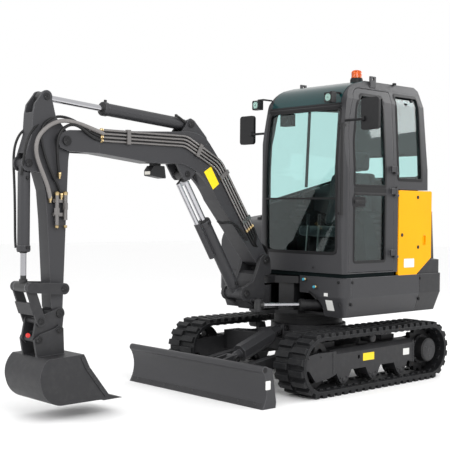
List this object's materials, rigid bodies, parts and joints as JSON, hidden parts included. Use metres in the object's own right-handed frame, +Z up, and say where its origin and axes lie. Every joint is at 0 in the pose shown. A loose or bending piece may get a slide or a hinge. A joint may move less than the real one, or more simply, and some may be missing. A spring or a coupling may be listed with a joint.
{
  "type": "mini excavator",
  "caption": "Compact tracked excavator with a glazed cab, dozer blade, swinging boom, arm and bucket, each on its own joint with coupled hydraulic cylinders.",
  "frame": {"origin": "middle of the overall length and width, mirrors included, on the ground", "axes": "+X the way the machine faces, +Y its left, +Z up"},
  "size_m": [4, 1.799, 2.56],
  "materials": {
    "grey_paint": "satin",
    "yellow_paint": "gloss",
    "track_rubber": "matt",
    "dark_steel": "satin",
    "chrome_rod": "polished",
    "pipe_steel": "brushed",
    "clear_glass": "clear",
    "black_plastic": "matt",
    "seat_cover": "woven",
    "amber_lens": "gloss"
  },
  "bodies": {
    "carriage": {"carriage_frame": "grey_paint", "track_frame_left": "grey_paint", "track_frame_right": "grey_paint", "track_left": "track_rubber", "track_right": "track_rubber", "idlers": "dark_steel", "sprockets": "dark_steel", "track_rollers": "dark_steel", "slew_ring": "dark_steel"},
    "blade": {"blade": "grey_paint", "blade_frame": "grey_paint"},
    "blade_barrel": {"blade_barrel": "grey_paint"},
    "blade_rod": {"blade_rod": "grey_paint"},
    "upper": {"platform": "grey_paint", "counterweight": "grey_paint", "skirt_left": "grey_paint", "skirt_right": "grey_paint", "front_cover": "grey_paint", "engine": "dark_steel", "rear_frame": "grey_paint", "side_panel_left": "yellow_paint", "right_cover": "grey_paint", "cab_frame": "grey_paint", "cab_roof": "grey_paint", "cab_floor": "grey_paint", "front_glass": "clear_glass", "side_glass": "clear_glass", "seat": "seat_cover", "consoles": "black_plastic", "levers": "pipe_steel", "work_lamps": "grey_paint", "mirrors": "black_plastic", "beacon": "amber_lens", "grab_rail": "grey_paint"},
    "rear_hood": {"rear_hood": "grey_paint"},
    "door": {"door": "grey_paint", "door_glass": "clear_glass"},
    "swing_post": {"swing_post": "grey_paint"},
    "swing_barrel": {"swing_barrel": "grey_paint"},
    "swing_rod": {"swing_rod": "chrome_rod"},
    "boom": {"boom": "grey_paint", "boom_pipes": "pipe_steel", "boom_lamp": "grey_paint"},
    "boom_barrel": {"boom_barrel": "grey_paint"},
    "boom_rod": {"boom_rod": "chrome_rod"},
    "arm": {"arm": "grey_paint", "aux_couplers": "pipe_steel"},
    "arm_barrel": {"arm_barrel": "grey_paint"},
    "arm_rod": {"arm_rod": "chrome_rod"},
    "bucket_rocker": {"bucket_rocker": "grey_paint"},
    "bucket_link": {"bucket_link": "grey_paint"},
    "bucket_barrel": {"bucket_barrel": "grey_paint"},
    "bucket_rod": {"bucket_rod": "chrome_rod"},
    "bucket": {"coupler": "grey_paint", "bucket": "grey_paint"}
  },
  "joints": [
    {"name": "slew", "type": "hinge", "parent": "carriage", "child": "upper", "pos_m": [-0.85, -0.1245, 0.5], "axis": [0, 0, 1], "continuous": true},
    {"name": "blade", "type": "hinge", "parent": "carriage", "child": "blade", "pos_m": [-0.35, -0.1245, 0.235], "axis": [0, -1, 0], "range_deg": [-25, 22]},
    {"name": "blade_barrel", "type": "hinge", "parent": "carriage", "child": "blade_barrel", "pos_m": [-0.52, -0.1245, 0.44], "axis": [0, -1, 0], "range_deg": [-15.57, 13.71]},
    {"name": "blade_rod", "type": "slide", "parent": "blade_barrel", "child": "blade_rod", "axis": [0.9415, 0, -0.337], "range_m": [-0.0508, 0.05766]},
    {"name": "door", "type": "hinge", "parent": "upper", "child": "door", "pos_m": [-1.072, 0.6205, 1.5], "axis": [0, 0, 1], "range_deg": [0, 160]},
    {"name": "hood", "type": "hinge", "parent": "upper", "child": "rear_hood", "pos_m": [-1.615, -0.1245, 1.601], "axis": [0, 1, 0], "range_deg": [0, 60]},
    {"name": "boom_swing", "type": "hinge", "parent": "upper", "child": "swing_post", "pos_m": [-0.28, -0.1245, 0.718], "axis": [0, 0, 1], "range_deg": [-50, 70]},
    {"name": "swing_barrel", "type": "hinge", "parent": "upper", "child": "swing_barrel", "pos_m": [-0.89, 0.4755, 0.665], "axis": [0, 0, 1], "range_deg": [-1.55, 2.15]},
    {"name": "swing_rod", "type": "slide", "parent": "swing_barrel", "child": "swing_rod", "axis": [0.8865, -0.4627, 0], "range_m": [-0.28675, 0.20497]},
    {"name": "boom", "type": "hinge", "parent": "swing_post", "child": "boom", "pos_m": [-0.21, -0.1245, 1.019], "axis": [0, -1, 0], "range_deg": [-50, 38]},
    {"name": "boom_barrel", "type": "hinge", "parent": "swing_post", "child": "boom_barrel", "pos_m": [0.005, -0.1245, 0.756], "axis": [0, -1, 0], "range_deg": [-47.55, 36.15]},
    {"name": "boom_rod", "type": "slide", "parent": "boom_barrel", "child": "boom_rod", "axis": [0.5295, 0, 0.8483], "range_m": [-0.24921, 0.18952]},
    {"name": "arm", "type": "hinge", "parent": "boom", "child": "arm", "pos_m": [1.674, -0.1245, 1.868], "axis": [0, 1, 0], "range_deg": [-75, 38]},
    {"name": "arm_barrel", "type": "hinge", "parent": "boom", "child": "arm_barrel", "pos_m": [0.556, -0.1245, 2.057], "axis": [0, 1, 0], "range_deg": [-3.94, 2.02]},
    {"name": "arm_rod", "type": "slide", "parent": "arm_barrel", "child": "arm_rod", "axis": [0.9969, 0, 0.0786], "range_m": [-0.36977, 0.1876]},
    {"name": "bucket", "type": "hinge", "parent": "arm", "child": "bucket", "pos_m": [1.712, -0.1245, 0.707], "axis": [0, 1, 0], "range_deg": [-70, 110]},
    {"name": "bucket_rocker", "type": "hinge", "parent": "arm", "child": "bucket_rocker", "pos_m": [1.696, -0.1245, 0.874], "axis": [0, 1, 0], "range_deg": [-42.05, 66.05]},
    {"name": "bucket_link", "type": "hinge", "parent": "bucket", "child": "bucket_link", "pos_m": [1.866, -0.1245, 0.665], "axis": [0, 1, 0], "range_deg": [-71.55, 45.55]},
    {"name": "bucket_barrel", "type": "hinge", "parent": "arm", "child": "bucket_barrel", "pos_m": [1.948, -0.1245, 1.707], "axis": [0, 1, 0], "range_deg": [-1.26, 1.95]},
    {"name": "bucket_rod", "type": "slide", "parent": "bucket_barrel", "child": "bucket_rod", "axis": [0.0012, 0, -1], "range_m": [-0.15199, 0.23856]}
  ],
  "couplings": [
    {"joint": "blade_barrel", "follows": "blade", "ratio": 0.6208},
    {"joint": "blade_rod", "follows": "blade", "m_per_rad": -0.131},
    {"joint": "boom_barrel", "follows": "boom", "ratio": 0.95},
    {"joint": "boom_rod", "follows": "boom", "m_per_rad": 0.285},
    {"joint": "arm_barrel", "follows": "arm", "ratio": 0.0518},
    {"joint": "arm_rod", "follows": "arm", "m_per_rad": 0.2821},
    {"joint": "bucket_rocker", "follows": "bucket", "ratio": 0.6},
    {"joint": "bucket_link", "follows": "bucket", "ratio": -0.65},
    {"joint": "bucket_barrel", "follows": "bucket", "ratio": 0.0173},
    {"joint": "bucket_rod", "follows": "bucket", "m_per_rad": 0.124},
    {"joint": "swing_barrel", "follows": "boom_swing", "ratio": 0.03},
    {"joint": "swing_rod", "follows": "boom_swing", "m_per_rad": -0.2343}
  ]
}
